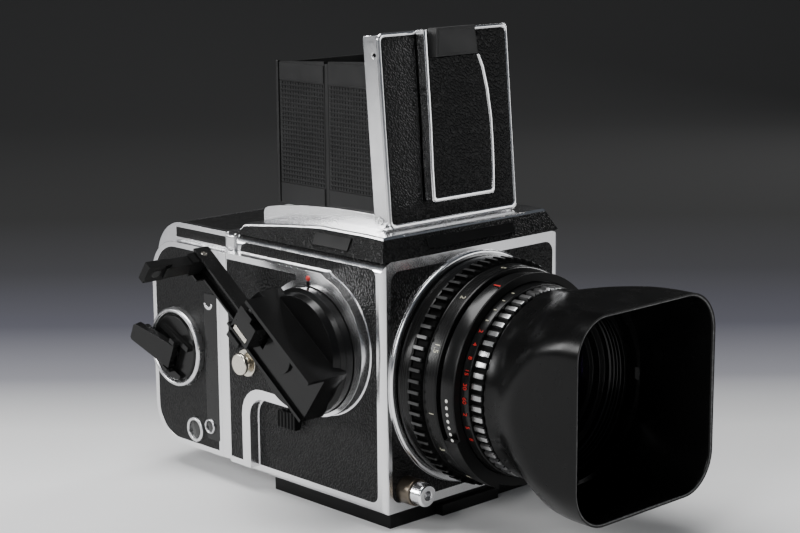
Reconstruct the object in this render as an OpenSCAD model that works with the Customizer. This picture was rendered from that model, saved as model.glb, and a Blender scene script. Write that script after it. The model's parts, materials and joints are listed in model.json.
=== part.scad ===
// Medium format single lens reflex camera with folding hood, lens with square shade, and film magazine.
// The lens looks towards -Y, the winding crank is on the -X side, and Z is up.
// The origin is the mouth of the tripod socket in the underside of the foot.

/* [Body] */
// Width of the body casing
body_w = 86.5; // [86:0.1:87]
// Depth of the body casing, front face to magazine
body_d = 78; // [77.8:0.1:78.4]
// Height of the body casing without the foot
body_h = 87; // [86.8:0.1:87.2]
// Wall thickness of the body casing
casing_t = 3.5; // [3:0.1:3.8]
// Distance of the tripod socket behind the front face
socket_back = 35; // [30:1:40]
// Height of the foot under the body
foot_h = 6; // [5.5:0.1:7]
// How far the winding cover stands out from the casing
cover_t = 4.05; // [3.8:0.05:4.3]

/* [Lens] */
// Height of the lens axis above the bottom of the casing
lens_z = 44.6; // [44:0.1:45]
// Radius of the chrome ring round the lens mount
mount_r = 41; // [40.5:0.1:41.3]
// Outer radius of the focusing ring
focus_r = 39.7; // [39.2:0.1:40]
// Number of grip flutes on the focusing ring
focus_flutes = 40; // [24:1:48]
// Half the side of the square mouth of the lens shade
shade_half = 34.5; // [34:0.1:35]
// Distance of the shade's mouth in front of the casing
shade_front = 77; // [74:0.5:80]

/* [Crank] */
// Distance of the crank axis behind the front face
hub_y = 32.5; // [32:0.1:33]
// Height of the crank axis above the bottom of the casing
hub_z = 52.9; // [52.5:0.1:53.3]
// Radius of the crank hub
hub_r = 22.1; // [22:0.1:22.4]
// Angle of the crank arm above the horizontal, at rest
crank_angle = 36; // [0:1:90]

/* [Hood] */
// How far the open lid leans back, in degrees
lid_lean = 4.64; // [4:0.02:5]
// Width of the lid
lid_w = 62.4; // [62.2:0.1:62.6]
// Height of the lid
lid_h = 66; // [65:0.5:66.5]
// Depth of the lid's side flanges
lid_d = 7.6; // [7.4:0.1:7.8]

/* [Magazine] */
// Depth of the film magazine
mag_d = 46; // [45:0.5:47]
// Radius of the magazine's rear corners
mag_r = 15; // [12:1:16]
// Side of the square film gate
gate = 56; // [54:1:56]

/* [Hidden] */
$fn = 96;
e = 0.01;
side_x = body_w / 2;
cover_x = side_x + cover_t;
pocket = 0.6;
leather_t = 0.5;
border = 3.5;
mag_y = body_d + 0.2;
mag_frame_t = 4.5;
mag_end = mag_y + mag_d;
mag_z0 = 2;
mag_step_z = 80.5;
// hood: the lid's lower front edge, its pivot, and the walls' hinge lines
lid_y = 9.1;
lid_z = 95.2;
pivot_y = 14;
pivot_z = 98;
wall_x = 27.5;
wall_t = 1;
wall_y = 18.6;
leaf = 25.4;
wall_z0 = 97.4;
wall_top_front = 150.9;
wall_top_rear = 148;
base_half = 29.9;
base_y0 = 12;
base_y1 = 77.3;
base_t = 1.1;
// crank: levels are distances out from the body's middle plane
disc_top = 52;
d_top = 54.5;
floor_x = 60.5;
wall_top_x = 68;
chord = 10.7;
arm_pin_s = 16;
arm_pin_x = 65.3;
grip_pin_s = 47;
grip_pin_x = 64.6;
// magazine axes
knob_y = 107.3;
knob_z = 41;
spool_y = 104;
takeup_z = 63;
supply_z = 24;
// shutter release and sliders
release_x = -33.2;
release_z = 7.4;
travel_gap = 0.3;

module in_frame() {
    translate([0, -socket_back, foot_h]) children();
}

// a flat outline in Y and Z, from x to x + t
module yz(x, t) {
    translate([x, 0, 0]) rotate([90, 0, 90]) linear_extrude(t) children();
}

// a flat outline in X and Z, from y to y + t
module xz(y, t) {
    translate([0, y + t, 0]) rotate([90, 0, 0]) linear_extrude(t) children();
}

// a profile of [radius, distance in front of the casing] turned round the lens axis
module lens_turn(points) {
    translate([0, 0, lens_z]) rotate([90, 0, 0]) rotate_extrude() polygon(points);
}

// a profile of [radius, distance out to -X] turned round an axis at y, z
module side_turn(y, z, points) {
    translate([0, y, z]) rotate([0, -90, 0]) rotate_extrude() polygon(points);
}

// a round bar along X from x0 to x1
module bar_x(x0, x1, y, z, r) {
    translate([x0, y, z]) rotate([0, 90, 0]) cylinder(h = x1 - x0, r = r);
}

// a rounded rectangle from x0, y0 to x1, y1
module round_rect(x0, y0, x1, y1, r) {
    translate([x0 + r, y0]) square([x1 - x0 - 2 * r, y1 - y0]);
    translate([x0, y0 + r]) square([x1 - x0, y1 - y0 - 2 * r]);
    for (x = [x0 + r, x1 - r], y = [y0 + r, y1 - r]) {
        translate([x, y]) circle(r);
    }
}

// ---- body ----

module casing_outline() {
    intersection() {
        linear_extrude(body_h) round_rect(-side_x, 0, side_x, body_d, 2.2);
        xz(-e, body_d + 2 * e) {
            round_rect(-side_x, 0, side_x, body_h - 8, 2);
            round_rect(-side_x, 10, side_x, body_h, 4.5);
        }
    }
}

module front_panels() {
    difference() {
        round_rect(-side_x + border, border - 0.3, side_x - border, body_h - border, 4);
        translate([0, lens_z]) circle(mount_r + 0.1);
    }
    translate([release_x, release_z]) circle(4.75);
}

// the part of the crank side that the raised cover leaves open
module side_panel() {
    difference() {
        round_rect(border, border, body_d - border, body_h - 2.6, 3);
        translate([0, 0]) cover_outline(0.4);
    }
}

module cover_outline(grow) {
    g = grow;
    intersection() {
        translate([31.5, 55]) circle(25.2 + g);
        translate([0, 29.8 - g]) square([40, 52]);
    }
    polygon([
        [26.5 - g, 80.6 + g], [body_d + g, 80.6 + g], [body_d + g, 3], [66.5 - g, 3], [66.5 - g, 22.3],
        for (a = [15:15:75]) [59 + (7.5 - g) * cos(a), 22.3 + (7.5 - g) * sin(a)],
        [59, 29.8 - g], [31.5, 29.8 - g], [31.5, 60], [16.2 - g, 73.8 + g]
    ]);
}

module cover_pocket() {
    difference() {
        polygon([
            [39.8, 78.4], [77.6, 78.4], [77.6, 5.2], [70.9, 5.2],
            for (a = [0:15:90]) [60.2 + 10.7 * cos(a), 22.6 + 10.7 * sin(a)],
            [40, 33.3], [36, 60]
        ]);
        translate([hub_y, hub_z]) circle(24.6);
    }
}

module body_shell() {
    color("silver") in_frame() difference() {
        casing_outline();
        translate([-side_x + casing_t, casing_t, casing_t])
            cube([body_w - 2 * casing_t, body_d - 2 * casing_t, body_h - 2 * casing_t]);
        lens_turn([[0, -casing_t - 1], [36, -casing_t - 1], [36, 1], [0, 1]]);
        xz(body_d - casing_t - 1, casing_t + 2) round_rect(-29.5, lens_z - 29.5, 29.5, lens_z + 29.5, 2);
        translate([-28, 14, body_h - casing_t - 1]) cube([56, 61, casing_t + 2]);
        xz(-1, pocket + 1) front_panels();
        yz(-side_x - 1, pocket + 1) side_panel();
        yz(side_x - pocket, pocket + 1) round_rect(border, border, body_d - border, body_h - border, 3);
        bar_x(-side_x - 1, -side_x + casing_t + 1, hub_y, hub_z, 4.1);
        translate([release_x, casing_t + 1, release_z]) rotate([90, 0, 0]) cylinder(h = casing_t + 2, r = 2.5);
        foot_screw_shapes(0.02);
        translate([-side_x - 1, 46.3, 22]) cube([casing_t + 2, 3.6, 5.8]);
    }
}

module mirror_box() {
    color("dimgray") in_frame() difference() {
        translate([-33, casing_t, casing_t]) cube([66, body_d - 2 * casing_t, body_h - 2 * casing_t]);
        translate([-31, casing_t + 2, casing_t + 2]) cube([62, body_d - 2 * casing_t - 4, body_h - 2 * casing_t - 4]);
        lens_turn([[0, -casing_t - 3], [31, -casing_t - 3], [31, 0], [0, 0]]);
        xz(body_d - casing_t - 3, 5) round_rect(-28, lens_z - 28, 28, lens_z + 28, 1);
        translate([-28, 14, body_h - casing_t - 3]) cube([56, 59, 5]);
        bar_x(-34, 34, mirror_hinge_y, mirror_hinge_z, 1.6);
        bar_x(-34, -30, hub_y, hub_z, 4.15);
        bar_x(-34, 34, flap_hinge_y, flap_upper_z, 1.1);
        bar_x(-34, 34, flap_hinge_y, flap_lower_z, 1.1);
        translate([release_x, 13, release_z]) rotate([90, 0, 0]) cylinder(h = 12, r = 3.2);
    }
}

module body_leather() {
    color("#262626") in_frame() {
        xz(pocket - leather_t, leather_t) difference() {
            round_rect(-side_x + border, border - 0.3, side_x - border, body_h - border, 4);
            translate([0, lens_z]) circle(mount_r + 0.1);
            translate([release_x, release_z]) circle(4.8);
        }
        yz(-side_x + pocket - leather_t, leather_t) difference() {
            side_panel();
            translate([46.2, 21.9]) square([3.8, 6]);
        }
        yz(side_x - pocket, leather_t) difference() {
            round_rect(border, border, body_d - border, body_h - border, 3);
            translate([67.5, 42]) circle(5.1);
        }
    }
}

module winding_cover() {
    color("silver") in_frame() difference() {
        yz(-cover_x, cover_t) cover_outline(0);
        yz(-cover_x - 1, cover_t + 2) translate([hub_y, hub_z]) circle(hub_r + 0.35);
        yz(-cover_x - 1, pocket + 1) cover_pocket();
    }
}

module winding_leather() {
    color("#262626") in_frame() yz(-cover_x + pocket - leather_t, leather_t) difference() {
        cover_pocket();
        translate([67.5, 42]) circle(5.1);
    }
}

// the sloping shoulder round the finder, as its side outline crossed with its front outline
module shoulder_solid(drop) {
    intersection() {
        yz(-side_x, body_w) polygon([
            [0.2, body_h], [3.9 - drop * 0.48, 94.7 - drop], [12, 94.9 - drop], [35, 94.8 - drop], [52, 93.3 - drop],
            [74, 90.9 - drop], [77.4, body_h]
        ]);
        xz(0, body_d) polygon([
            [-side_x + 0.2, body_h], [-39.2, 95 + e], [39.2, 95 + e], [side_x - 0.2, body_h]
        ]);
    }
}

module finder_hole() {
    translate([-base_half, base_y0, body_h - 1]) cube([2 * base_half, base_y1 - base_y0, 14]);
}

module shoulder_cover() {
    color("#2b2b2b") in_frame() difference() {
        shoulder_solid(0.9);
        finder_hole();
        badge_plates(0.03);
    }
}

module shoulder_trim() {
    color("silver") in_frame() difference() {
        shoulder_solid(0);
        shoulder_solid(0.9);
        finder_hole();
        badge_plates(0.03);
    }
}

// plates of the nameplate and side badge, grown by c
module badge_plates(c) {
    slope = 26;
    translate([0, 1.98, 90.6]) rotate([-slope, 0, 0]) translate([-21 - c, -0.6 - c, -1.8 - c])
        cube([42 + 2 * c, 0.6 + 2 * c, 3.6 + 2 * c]);
    translate([-41.34, 27, 90.6]) rotate([0, slope, 0]) translate([-0.6 - c, -9 - c, -2.3 - c])
        cube([0.6 + 2 * c, 18 + 2 * c, 4.6 + 2 * c]);
}

module blank_badges() {
    color("gray") in_frame() badge_plates(0);
}

module base_side() {
    polygon([
        [base_y0, body_h], [base_y0, 98.4], [13.6, 99.3], [20, 99.6], [30, 99.5], [42, 99.1], [56, 98.2],
        [68, 96.8], [74.5, 95.7], [76.6, 94.8], [base_y1, 93.2], [base_y1, body_h]
    ]);
}

module finder_base() {
    color("silver") in_frame() {
        difference() {
            yz(-base_half, 2 * base_half) base_side();
            translate([-base_half + base_t, base_y0 + base_t, body_h - 1])
                cube([2 * (base_half - base_t), base_y1 - base_y0 - 2 * base_t, 20]);
        }
        for (x = [-base_half - 1.2, base_half - 0.2]) {
            bar_x(x, x + 1.4, pivot_y, pivot_z, 1);
        }
    }
}

module focusing_screen() {
    color("lightcyan") in_frame() translate([-28.7, base_y0 + 1.3, body_h]) cube([57.4, 62.6, 1.5]);
}

module lens_mount_ring() {
    color("silver") in_frame() lens_turn([
        [32.4, -casing_t], [35.9, -casing_t], [35.9, 0], [mount_r, 0], [mount_r, 0.8], [mount_r - 0.5, 1.3],
        [37, 1.3], [36.2, 0.4], [34.6, 0.4], [34.6, -1], [32.4, -1]
    ]);
}

module foot_screw_shapes(gap) {
    for (x = [-32, 32], y = [9, 56]) {
        translate([x, y, -5.9]) cylinder(h = 1.7 + gap, r = 2.8 + gap);
        translate([x, y, -5.9]) cylinder(h = 9, r = 1.5 + gap);
    }
}

module foot_plate() {
    color("#202020") in_frame() difference() {
        union() {
            translate([-39, 2, -foot_h]) cube([78, 61, foot_h]);
            translate([-17, -1, -foot_h]) cube([28, 3 + e, foot_h - 2]);
        }
        translate([0, socket_back, -foot_h - 1]) cylinder(h = 6, r = 3.175);
        translate([0, socket_back + 18, -foot_h - 1]) cylinder(h = 6, r = 4.76);
        translate([0, 0, -foot_h + 5.85]) foot_screw_shapes(0.02);
        foot_screw_shapes(0.02);
        for (x = [-32, 32], y = [9, 56]) {
            translate([x, y, -foot_h - 1]) cylinder(h = 2, r = 2.82);
        }
    }
}

module foot_screws() {
    color("#303030") in_frame() difference() {
        foot_screw_shapes(0);
        for (x = [-32, 32], y = [9, 56]) {
            translate([x - 0.4, y - 3, -foot_h - 0.2]) cube([0.8, 6, 1]);
        }
    }
}

module strap_studs() {
    color("silver") in_frame() {
        side_turn(67.5, 42, [
            [0, cover_x - pocket], [5, cover_x - pocket], [5, cover_x + 0.4], [2.2, cover_x + 0.6],
            [2.2, cover_x + 2.2], [4, cover_x + 2.4], [4, cover_x + 3.5], [3.6, cover_x + 3.9], [0, cover_x + 3.9]
        ]);
        mirror([1, 0, 0]) side_turn(67.5, 42, [
            [0, side_x - pocket], [5, side_x - pocket], [5, side_x + 0.4], [2.2, side_x + 0.6],
            [2.2, side_x + 2.2], [4, side_x + 2.4], [4, side_x + 3.5], [3.6, side_x + 3.9], [0, side_x + 3.9]
        ]);
    }
}

module release_axis(points) {
    translate([release_x, 0, release_z]) rotate([90, 0, 0]) rotate_extrude() polygon(points);
}

module release_socket() {
    color("dimgray") in_frame() release_axis([
        [2.6, -pocket], [4.7, -pocket], [4.7, 5.2], [4.5, 5.5], [4.15, 5.5], [4.15, 0.6], [2.6, 0.6]
    ]);
}

module release_button() {
    color("silver") in_frame() difference() {
        release_axis([
            [0, -7.5], [2.4, -7.5], [2.4, 3.8], [4, 3.8], [4, 9.9], [3.5, 10.5], [0, 10.5]
        ]);
        release_axis([[0, 5.5], [1.6, 5.5], [1.6, 12], [0, 12]]);
    }
}

module mirror_release_slider() {
    color("#202020") in_frame() {
        difference() {
            translate([-side_x - 3, 43, 21.4]) cube([2.7, 9.3, 6.1]);
            for (i = [0:4]) {
                translate([-side_x - 4, 43.8 + i * 1.8, 21]) cube([1.5, 0.8, 7]);
            }
        }
        translate([-side_x - 0.4, 46.6, 22.3]) cube([casing_t + 0.3, 3, 3.2]);
    }
}

// ---- mirror and rear flaps ----

mirror_hinge_y = 69;
mirror_hinge_z = 78.6;
mirror_len = 58;
flap_hinge_y = 71.2;
flap_upper_z = 73.5;
flap_lower_z = 15.7;
flap_len = 28.6;

module at_mirror() {
    translate([0, mirror_hinge_y, mirror_hinge_z]) rotate([45, 0, 0]) children();
}

module mirror_carrier() {
    color("dimgray") in_frame() at_mirror() difference() {
        union() {
            translate([-29.5, -mirror_len, -1.9]) cube([59, mirror_len, 1.6]);
            bar_x(-32.9, 32.9, 0, 0, 1.5);
            translate([-27, -5, -1.9]) cube([54, 5, 2]);
        }
        translate([-28.4, -mirror_len + 1, -0.8]) cube([56.8, mirror_len - 7, 2]);
    }
}

module mirror_glass() {
    color("lightsteelblue") in_frame() at_mirror()
        translate([-28.3, -mirror_len + 1.1, -0.8]) cube([56.6, mirror_len - 7.2, 1.4]);
}

module flap(z, way) {
    bar_x(-32.9, 32.9, flap_hinge_y, z, 1);
    z0 = way > 0 ? z : z - flap_len;
    translate([-29, flap_hinge_y - 0.4, z0]) cube([58, 0.8, flap_len]);
}

module upper_flap() {
    color("#303030") in_frame() flap(flap_upper_z, -1);
}

module lower_flap() {
    color("#303030") in_frame() flap(flap_lower_z, 1);
}

// ---- crank ----

// x stays along the crank axis, y runs along the arm, z across it
module on_crank() {
    in_frame() translate([0, hub_y, hub_z]) rotate([crank_angle, 0, 0]) children();
}

module crank_shaft() {
    color("dimgray") on_crank() {
        bar_x(-floor_x, -31, 0, 0, 4);
        bar_x(-floor_x - 1, -floor_x + e, 0, 0, 5.8);
        difference() {
            bar_x(-37.5, -34.4, 0, 0, 11);
            for (i = [0:29]) {
                rotate([i * 12, 0, 0]) translate([-38, -0.55, 9.6]) cube([4, 1.1, 2]);
            }
        }
    }
}

module crank_hub() {
    color("#1e1e1e") on_crank() difference() {
        union() {
            side_turn(0, 0, [
                [0, side_x + 0.35], [hub_r, side_x + 0.35], [hub_r, disc_top - 1.2], [hub_r - 1.2, disc_top], [0, disc_top]
            ]);
            difference() {
                side_turn(0, 0, [[0, disc_top - 1], [hub_r - 1, disc_top - 1], [hub_r - 2.2, d_top], [0, d_top]]);
                translate([-60, -30, -chord]) cube([20, 60, 2 * chord]);
            }
            intersection() {
                union() {
                    translate([-floor_x, -20.5, -chord]) cube([floor_x - disc_top + 1, 45, 2 * chord]);
                    translate([-wall_top_x, -20.5, chord - 1.3]) cube([10, 39, 1.3]);
                    translate([-floor_x - 1.2, -20.5, -chord]) cube([3, 41, 1.2]);
                    for (d = [-7.2, 5.1]) {
                        translate([-wall_top_x, arm_pin_s - 3.4, d]) cube([10, 6.8, 2.1]);
                    }
                }
                bar_x(-80, -40, 0, 0, hub_r + 1.4);
            }
        }
        translate([-80, 8.2, -5]) cube([80 - 57, 20, 10]);
        bar_x(-floor_x - 2, -40, 0, 0, 4.05);
        translate([-arm_pin_x, arm_pin_s, -8]) cylinder(h = 16, r = 1.3);
    }
}

module crank_arm() {
    color("#1e1e1e") on_crank() difference() {
        union() {
            translate([-67.3, 9.5, -4.6]) cube([6.3, 38, 9.2]);
            translate([-67.3, 47, -4.6]) cube([6.3, 3, 9.2]);
        }
        translate([-70, 20.2, -3.75]) cube([8, 40, 7.5]);
        translate([-70, 22, -5]) cube([6, 20.5, 2]);
        translate([-arm_pin_x, arm_pin_s, -8]) cylinder(h = 16, r = 1.3);
        translate([-grip_pin_x, grip_pin_s, -8]) cylinder(h = 16, r = 1.15);
        translate([-70, 10.8, -3.2]) cube([3.2, 7.8, 1.9]);
    }
}

module arm_pin() {
    color("gainsboro") on_crank() translate([-arm_pin_x, arm_pin_s, -7.1]) cylinder(h = 14.2, r = 1.25);
}

module arm_fittings() {
    color("gainsboro") on_crank() {
        translate([-67.5, 10.9, -3.1]) cube([0.7, 7.6, 1.7]);
        translate([-grip_pin_x, grip_pin_s, -4.5]) cylinder(h = 9, r = 1.05);
    }
}

module crank_grip() {
    color("#181818") on_crank() difference() {
        union() {
            translate([-grip_pin_x, grip_pin_s, -3.4]) cylinder(h = 6.8, r = 2.2);
            translate([-81, grip_pin_s - 2.1, -2.4]) cube([81 - grip_pin_x, 4.2, 4.8]);
            translate([-70, grip_pin_s - 2.2, -3.3]) cube([70 - grip_pin_x, 4.4, 6.6]);
            translate([-80.6, grip_pin_s - 1.4, -3.4]) cube([2, 2.8, 6.8]);
            translate([-88.4, grip_pin_s - 1.4, -3.7]) cube([8.4, 2.8, 7.4]);
        }
        translate([-grip_pin_x, grip_pin_s, -8]) cylinder(h = 16, r = 1.1);
        translate([-84.2, grip_pin_s + 3, 0]) rotate([90, 0, 0]) cylinder(h = 6, r = 1.7);
    }
}

module grip_rivet() {
    color("gainsboro") on_crank()
        translate([-84.2, grip_pin_s + 1.4, 0]) rotate([90, 0, 0]) cylinder(h = 3.1, r = 1.7);
}

// ---- lens ----

module lens_barrel() {
    color("#202020") in_frame() lens_turn([
        [17, -3.3], [32.2, -3.3], [32.2, -1], [34.4, -1], [34.4, 1.5], [34, 1.6], [34, 18.8], [36, 19],
        [36, 25.2], [30.6, 25.2], [30.6, -0.7], [17, -0.7]
    ]);
}

module rear_element() {
    color("lightcyan") in_frame() lens_turn([
        [0, -5], [4, -5], [9, -4.1], [13, -2.6], [17, -0.8], [17, -0.7], [0, -0.7]
    ]);
}

module focus_ring() {
    color("#1a1a1a") in_frame() difference() {
        lens_turn([
            [34.1, 1.8], [focus_r - 0.6, 1.8], [focus_r, 2.4], [focus_r, 11.6], [focus_r - 0.5, 12.2],
            [37.8, 12.2], [37.6, 18.1], [37.3, 18.5], [34.1, 18.5]
        ]);
        for (i = [0:focus_flutes - 1]) {
            translate([0, 0, lens_z]) rotate([0, i * 360 / focus_flutes, 0])
                translate([focus_r - 1, -12.4, -1.15]) cube([3, 9.2, 2.3]);
        }
    }
}

module front_barrel() {
    color("#242424") in_frame() lens_turn([
        [27, 4], [30.5, 4], [30.5, 25.5], [33.5, 25.5], [33.5, 29.2], [31.2, 29.2], [31.2, 34.8], [30.9, 35],
        [30.9, 43], [29.4, 43], [29, 39], [27.6, 38.6], [27.2, 36], [25, 35.6], [24, 33.4], [22.4, 33.2],
        [22.4, 30], [27, 30]
    ]);
}

module ring_with_teeth(s0, s1, r, count) {
    difference() {
        lens_turn([[31.25, s0], [r, s0], [r, s1], [31.25, s1]]);
        for (i = [0:count - 1]) {
            translate([0, 0, lens_z]) rotate([0, i * 360 / count, 0])
                translate([r - 0.7, -s1 - 1, -1]) cube([2, s1 - s0 + 2, 2]);
        }
    }
}

module aperture_ring() {
    color("#202020") in_frame() lens_turn([[31.25, 29.4], [32.3, 29.4], [32.5, 29.7], [32.5, 31.5], [31.25, 31.5]]);
}

module speed_ring() {
    color("#303030") in_frame() ring_with_teeth(31.7, 33.6, 32.4, 40);
}

module depth_lever() {
    color("#181818") in_frame() {
        lens_turn([[33.8, 25.35], [36.6, 25.35], [36.6, 26.1], [33.8, 26.1]]);
        intersection() {
            lens_turn([[35, 25.35], [35, 26.1], [38.3, 26.1], [38.3, 20.4], [36.3, 20.4], [36.3, 25.35]]);
            xz(-30, 12) translate([0, lens_z]) polygon([[0, 0], [-60, -26], [-60, -56], [-26, -60]]);
        }
    }
}

module front_element() {
    color("midnightblue") in_frame() lens_turn([
        [0, 28.5], [22.4, 28.5], [22.4, 30.2], [17.8, 31.6], [12, 32.9], [6, 33.65], [0, 33.9]
    ]);
}

module aperture_blades() {
    color("#404040") in_frame() translate([0, 0, lens_z]) rotate([90, 0, 0]) for (i = [0:4]) {
        translate([0, 0, 14 + i * 0.4]) rotate(i * 72) difference() {
            intersection() {
                cylinder(h = 0.3, r = 27);
                translate([9, -26, 0]) cube([20, 40, 0.3]);
            }
        }
    }
}

// the square shade: a rounded square tube that a cone closes in to the round collar
module shade_outer(inset) {
    h = shade_half - inset;
    intersection() {
        xz(-shade_front - (inset > 0 ? 1 : 0), shade_front - 34) round_rect(-h, lens_z - h, h, lens_z + h, 14 - inset);
        lens_turn([
            [0, 35.2], [32.6 - inset, 35.2], [32.8 - inset, 41], [34.4 - inset, 45.5], [37.6 - inset, 51.5],
            [41 - inset, 59], [44 - inset, 69], [46 - inset, shade_front + 2], [0, shade_front + 2]
        ]);
    }
}

module lens_shade() {
    color("#151515") in_frame() difference() {
        shade_outer(0);
        difference() {
            shade_outer(1.3);
            lens_turn([[0, 30], [60, 30], [60, 46.5], [0, 46.5]]);
        }
        lens_turn([[0, 30], [30.9, 30], [30.9, 47], [0, 47]]);
    }
}

// ---- folding hood ----

// x across, y into the lid, z up the lid, from the lower front edge of the leaning lid
module on_lid() {
    translate([0, lid_y, lid_z]) rotate([-lid_lean, 0, 0]) children();
}

module lid_pocket() {
    round_rect(-29.6, 2, 29.6, lid_h - 1.8, 1.6);
}

module tongue_outline(grow) {
    g = grow;
    polygon([
        [-13.6 - g, 7.6 - g], [15.2 + g, 7.6 - g], [16 + g, 8.6], [16.4 + g, 14], [16.8 + g, 24], [16.7 + g, 34],
        [15.7 + g, 44], [14 + g, 52], [11.6 + g, 57.2], [11.6 + g, lid_h], [-14 - g, lid_h], [-14 - g, 34],
        [-14.4 - g, 20], [-14.4 - g, 8.4]
    ]);
}

module flange_side() {
    translate([0, 5]) square([lid_d, lid_h - 6]);
    translate([0, 3.2]) square([4.7, 5]);
    translate([4.66, 3.19]) circle(2.9);
    translate([0, lid_h - 2]) square([lid_d - 1, 1.2]);
}

module lid_frame() {
    color("silver") in_frame() difference() {
        on_lid() union() {
            xz(0, 1.5) round_rect(-lid_w / 2, 0, lid_w / 2, lid_h, 2.4);
            for (x = [-lid_w / 2, lid_w / 2 - 0.9]) {
                yz(x, 0.9) flange_side();
            }
            translate([-lid_w / 2 + 2, 0, lid_h - 1]) cube([lid_w - 4, 3, 1]);
            for (x = [-11, 7]) {
                translate([x, 1.4, 56.4]) cube([4, 4, 4]);
            }
        }
        on_lid() xz(-1, pocket + 1) difference() {
            lid_pocket();
            tongue_outline(0.4);
        }
        bar_x(-40, 40, pivot_y, pivot_z, 1.08);
        on_lid() translate([-13.2, -1, lid_h - 3.2]) cube([28.6, 3, 5]);
        bar_x(-40, 40, magnifier_y, magnifier_z, 0.85);
    }
}

module lid_leather() {
    color("#262626") in_frame() {
        on_lid() xz(pocket - leather_t, leather_t) difference() {
            lid_pocket();
            tongue_outline(0.4);
            translate([-13.4, lid_h - 3.4]) square([29, 5]);
        }
        on_lid() xz(-4.1, leather_t) difference() {
            intersection() {
                tongue_outline(-1.5);
                translate([-30, 0]) square([60, 56.4]);
            }
        }
    }
}

module tongue_plate() {
    color("silver") in_frame() on_lid() difference() {
        xz(-4.3, 4.3) difference() {
            tongue_outline(0);
            translate([-12.6, lid_h - 9.8]) square([28, 12]);
        }
        xz(-6, 6 - 3.6) intersection() {
            tongue_outline(-1.5);
            translate([-30, 0]) square([60, 56.4]);
        }
    }
}

module lid_slide() {
    color("#1c1c1c") in_frame() on_lid() {
        translate([-8.6, -4.9, lid_h - 9.3]) cube([18.6, 4.6, 9.8]);
        translate([-8.6, -0.4, lid_h - 3]) cube([18.6, 1, 3.5]);
    }
}

magnifier_y = 16.5;
magnifier_z = 153.4;
magnifier_lens_z = 127.5;

module magnifier_arm() {
    color("dimgray") in_frame() difference() {
        union() {
            translate([-6.6, magnifier_y - 0.6, magnifier_lens_z]) cube([13.2, 1.2, magnifier_z - magnifier_lens_z]);
            bar_x(-6.6, 6.6, magnifier_y, magnifier_z, 1.05);
            bar_x(-11.2, 11.2, magnifier_y, magnifier_z, 0.8);
            xz(14.6, 2.5) translate([0, magnifier_lens_z]) circle(12.5);
        }
        xz(13, 6) translate([0, magnifier_lens_z]) circle(10.55);
    }
}

module magnifier_lens() {
    color("lightcyan") in_frame() translate([0, 17, magnifier_lens_z]) rotate([90, 0, 0]) rotate_extrude()
        polygon([[0, 0], [10.5, 0], [10.5, 0.2], [7.4, 1.2], [3.8, 1.85], [0, 2.1]]);
}

function wall_top(y) = wall_top_front + (wall_top_rear - wall_top_front) * (y - wall_y) / (2 * leaf);

// one leaf of a side wall, from y0 to y1, with barrels on its hinge lines
module wall_leaf(side, y0, y1) {
    x = side < 0 ? -wall_x - wall_t : wall_x;
    yz(x, wall_t) polygon([[y0, wall_z0], [y1, wall_z0], [y1, wall_top(y1)], [y0, wall_top(y0)]]);
}

// hinge knuckles on a vertical line at x, y, each joined to a leaf that starts dy behind it
module knuckles(x, y, r, dy) {
    for (z = [108, 122, 136]) {
        translate([x, y, z]) cylinder(h = 6, r = r);
        translate([x - 0.35, min(y, y + dy), z]) cube([0.7, abs(dy), 6]);
    }
}

module wall_front_left() {
    color("#2c2c2c") in_frame() {
        wall_leaf(-1, wall_y + 0.4, wall_y + leaf - 1.1);
        knuckles(-wall_x, wall_y, 0.5, 0.8);
    }
}

module wall_rear_left() {
    color("#2c2c2c") in_frame() {
        wall_leaf(-1, wall_y + leaf + 1.1, wall_y + 2 * leaf - 0.5);
        knuckles(-wall_x - 1.15, wall_y + leaf, 0.5, 0.7);
        translate([-wall_x - 1.5, wall_y + leaf + 0.6, 108]) cube([0.6, 0.7, 34]);
    }
}

module wall_front_right() {
    color("#2c2c2c") in_frame() {
        wall_leaf(1, wall_y + 0.4, wall_y + leaf - 1.1);
        knuckles(wall_x, wall_y, 0.5, 0.8);
    }
}

module wall_rear_right() {
    color("#2c2c2c") in_frame() {
        wall_leaf(1, wall_y + leaf + 1.1, wall_y + 2 * leaf - 0.5);
        knuckles(wall_x + 1.15, wall_y + leaf, 0.5, 0.7);
        translate([wall_x + 0.9, wall_y + leaf + 0.6, 108]) cube([0.6, 0.7, 34]);
    }
}

module wall_rear() {
    y = wall_y + 2 * leaf + 0.3;
    color("#2c2c2c") in_frame() {
        translate([-27, y, wall_z0]) cube([54, 1, wall_top_rear - wall_z0]);
        knuckles(-wall_x, wall_y + 2 * leaf, 0.4, 0.9);
        translate([-wall_x - 0.3, y + 0.1, 108]) cube([1, 0.8, 34]);
    }
}

// ---- film magazine ----

module mag_profile(y0, z0, y1, z1, r, grow) {
    g = grow;
    difference() {
        translate([y0 - g, z0 - g]) square([y1 - y0 + 2 * g, z1 - z0 + 2 * g]);
        translate([y1 - r, z1 - r]) difference() {
            square(r + g + 1);
            circle(r + g);
        }
        translate([y1 - r, z0 + r]) mirror([0, 1]) difference() {
            square(r + g + 1);
            circle(r + g);
        }
    }
}

module mag_side_panel(inset) {
    mag_profile(mag_y + mag_frame_t, mag_z0 + 1.6, mag_end - 1.6, mag_step_z, mag_r - 1, -inset);
}

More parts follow.
